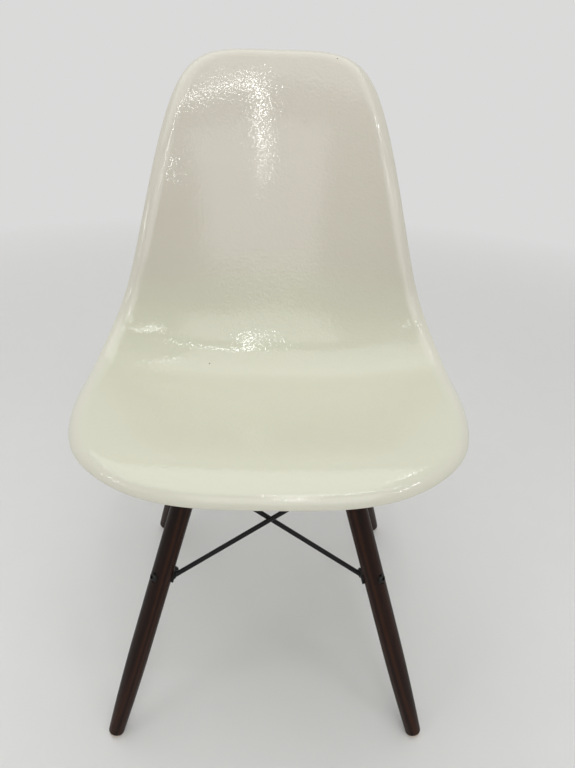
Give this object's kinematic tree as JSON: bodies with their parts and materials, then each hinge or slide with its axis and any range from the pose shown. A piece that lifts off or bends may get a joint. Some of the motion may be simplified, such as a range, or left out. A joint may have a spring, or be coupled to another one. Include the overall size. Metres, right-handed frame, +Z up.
{
  "type": "moulded shell chair",
  "caption": "Side chair with a moulded fibreglass shell seat and back, splayed dark wooden legs, and a black steel frame of crossing rods bolted to the legs.",
  "frame": {"origin": "on the floor, under the middle of the whole chair's width and depth", "axes": "+Z up, +X to the right as seen from the front, -Y to the front"},
  "size_m": [0.4668, 0.5322, 0.8038],
  "materials": {
    "shell_plastic": "semi-gloss cream glass-fibre plastic",
    "leg_wood": "dark walnut stain, satin lacquer",
    "frame_paint": "black satin paint",
    "bolt_steel": "blackened steel",
    "screw_steel": "zinc plated",
    "mount_rubber": "matt black",
    "glide_plastic": "pale moulded plastic"
  },
  "bodies": {
    "root": {"bracket_front_left": "frame_paint", "bracket_front_right": "frame_paint", "bracket_rear_left": "frame_paint", "bracket_rear_right": "frame_paint", "glide_front_left": "glide_plastic", "glide_front_right": "glide_plastic", "glide_nails": "screw_steel", "glide_rear_left": "glide_plastic", "glide_rear_right": "glide_plastic", "leg_front_left": "leg_wood", "leg_front_right": "leg_wood", "leg_rear_left": "leg_wood", "leg_rear_right": "leg_wood", "lower_leg_bolts": "bolt_steel", "lower_leg_nuts": "bolt_steel", "lower_leg_washers": "bolt_steel", "mount_front_left": "mount_rubber", "mount_front_right": "mount_rubber", "mount_inserts": "screw_steel", "mount_rear_left": "mount_rubber", "mount_rear_right": "mount_rubber", "mount_screws": "screw_steel", "mount_washers": "screw_steel", "shell": "shell_plastic", "strut_front_inner": "frame_paint", "strut_front_outer": "frame_paint", "strut_left_inner": "frame_paint", "strut_left_outer": "frame_paint", "strut_rear_inner": "frame_paint", "strut_rear_outer": "frame_paint", "strut_right_inner": "frame_paint", "strut_right_outer": "frame_paint", "tab_front_left": "frame_paint", "tab_front_right": "frame_paint", "tab_rear_left": "frame_paint", "tab_rear_right": "frame_paint", "upper_leg_bolts": "bolt_steel", "upper_leg_nuts": "bolt_steel", "upper_leg_washers": "bolt_steel"}
  },
  "joints": []
}
